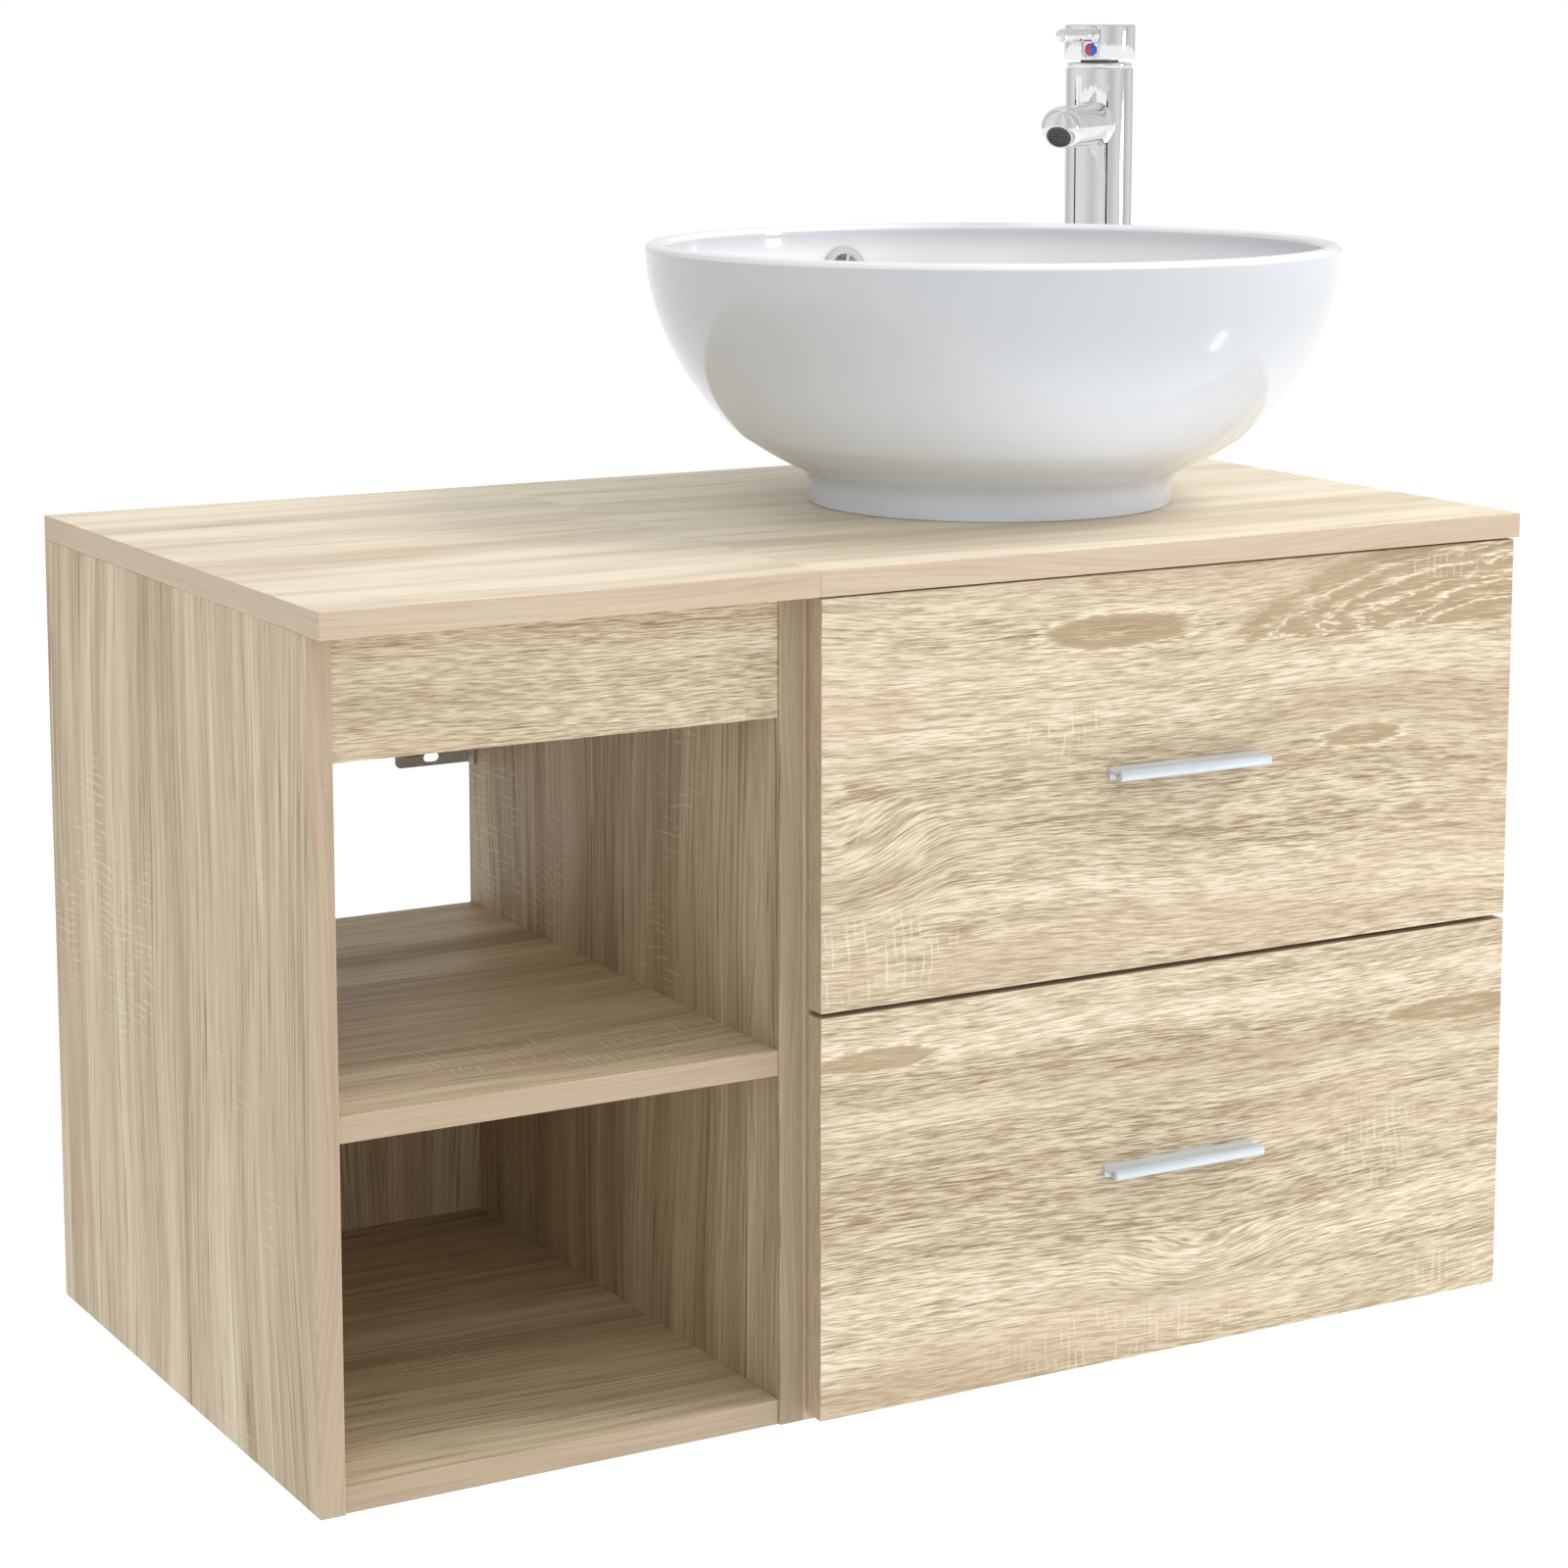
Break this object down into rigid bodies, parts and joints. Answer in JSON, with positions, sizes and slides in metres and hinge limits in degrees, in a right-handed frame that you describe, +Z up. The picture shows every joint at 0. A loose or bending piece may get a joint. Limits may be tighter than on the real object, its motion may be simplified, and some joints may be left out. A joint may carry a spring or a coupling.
{
  "type": "vessel sink on vanity",
  "caption": "Wall-hung oak vanity with open shelf module, sliding drawers, round vessel basin and tall single-lever mixer tap.",
  "frame": {"origin": "on the wall plane, at the centre of the drawer cabinet's four wall slots", "axes": "+X to the right seen from the room, +Y into the wall, +Z up; the worktops' top is at z = 0.155 m"},
  "size_m": [0.8, 0.452, 0.7985],
  "materials": {
    "sonoma_oak": "embossed melamine oak decor, satin",
    "birch": "plain birch",
    "bracket_steel": "zinc plated sheet",
    "zinc_steel": "zinc plated",
    "satin_aluminium": "satin anodised",
    "glazed_ceramic": "glazed white vitreous china",
    "rubber": "matt black",
    "white_plastic": "smooth moulded",
    "cartridge_plastic": "moulded",
    "aerator": "moulded grey insert",
    "dot": "red and blue enamel",
    "chrome": "polished chrome plate"
  },
  "bodies": {
    "vanity": {"shelf_worktop": "sonoma_oak", "shelf_left_panel": "sonoma_oak", "shelf_right_panel": "sonoma_oak", "shelf_bottom": "sonoma_oak", "shelf_middle": "sonoma_oak", "shelf_front_rail": "sonoma_oak", "shelf_rear_rail": "sonoma_oak", "shelf_back_panel": "sonoma_oak", "cabinet_worktop": "sonoma_oak", "cabinet_left_panel": "sonoma_oak", "cabinet_right_panel": "sonoma_oak", "cabinet_bottom": "sonoma_oak", "cabinet_front_rail": "sonoma_oak", "cabinet_rear_rail": "sonoma_oak", "shelf_brackets": "bracket_steel", "cabinet_brackets": "bracket_steel", "bracket_screws": "zinc_steel", "wood_dowels": "birch", "cam_locks": "zinc_steel", "upper_slide_outer": "zinc_steel", "lower_slide_outer": "zinc_steel", "basin": "glazed_ceramic", "basin_rim": "glazed_ceramic", "overflow_ring": "chrome", "waste_body": "chrome", "waste_gaskets": "rubber", "waste_nut": "white_plastic", "trap_head": "white_plastic", "trap_cup": "white_plastic", "trap_nuts": "white_plastic", "trap_pipe": "white_plastic", "mixer_body": "chrome", "mixer_spout": "chrome", "mixer_aerator": "aerator", "mixer_collar": "chrome", "mixer_cartridge": "cartridge_plastic", "mixer_fixings": "zinc_steel"},
    "upper_drawer": {"upper_front": "sonoma_oak", "upper_sides": "sonoma_oak", "upper_rear_boards": "sonoma_oak", "upper_notch_boards": "sonoma_oak", "upper_bottom": "birch", "upper_handle": "satin_aluminium", "upper_handle_screws": "zinc_steel", "upper_slide_inner": "zinc_steel"},
    "lower_drawer": {"lower_front": "sonoma_oak", "lower_sides": "sonoma_oak", "lower_rear": "sonoma_oak", "lower_bottom": "birch", "lower_handle": "satin_aluminium", "lower_handle_screws": "zinc_steel", "lower_slide_inner": "zinc_steel"},
    "upper_slide": {"upper_slide_middle": "zinc_steel"},
    "lower_slide": {"lower_slide_middle": "zinc_steel"},
    "mixer_turret": {"mixer_carrier": "cartridge_plastic"},
    "mixer_handle": {"mixer_stem": "zinc_steel", "mixer_cap": "chrome", "mixer_lever": "chrome", "mixer_dot": "dot"},
    "plug": {"waste_plug": "chrome"}
  },
  "joints": [
    {"name": "upper_drawer_slide", "type": "slide", "parent": "vanity", "child": "upper_drawer", "axis": [0, -1, 0], "range_m": [0, 0.3]},
    {"name": "upper_middle_slide", "type": "slide", "parent": "vanity", "child": "upper_slide", "axis": [0, -1, 0], "range_m": [0, 0.15]},
    {"name": "lower_drawer_slide", "type": "slide", "parent": "vanity", "child": "lower_drawer", "axis": [0, -1, 0], "range_m": [0, 0.3]},
    {"name": "lower_middle_slide", "type": "slide", "parent": "vanity", "child": "lower_slide", "axis": [0, -1, 0], "range_m": [0, 0.15]},
    {"name": "mixer_swivel", "type": "hinge", "parent": "vanity", "child": "mixer_turret", "pos_m": [0.197, -0.049, 0.417], "axis": [0, 0, 1], "range_deg": [-45, 45]},
    {"name": "mixer_tilt", "type": "hinge", "parent": "mixer_turret", "child": "mixer_handle", "pos_m": [0.197, -0.049, 0.417], "axis": [-0.6577, 0.7533, 0], "range_deg": [0, 14]},
    {"name": "waste_plug_lift", "type": "slide", "parent": "vanity", "child": "plug", "axis": [0, 0, 1], "range_m": [0, 0.008]}
  ],
  "couplings": [
    {"joint": "upper_middle_slide", "follows": "upper_drawer_slide", "ratio": 0.5},
    {"joint": "lower_middle_slide", "follows": "lower_drawer_slide", "ratio": 0.5}
  ]
}
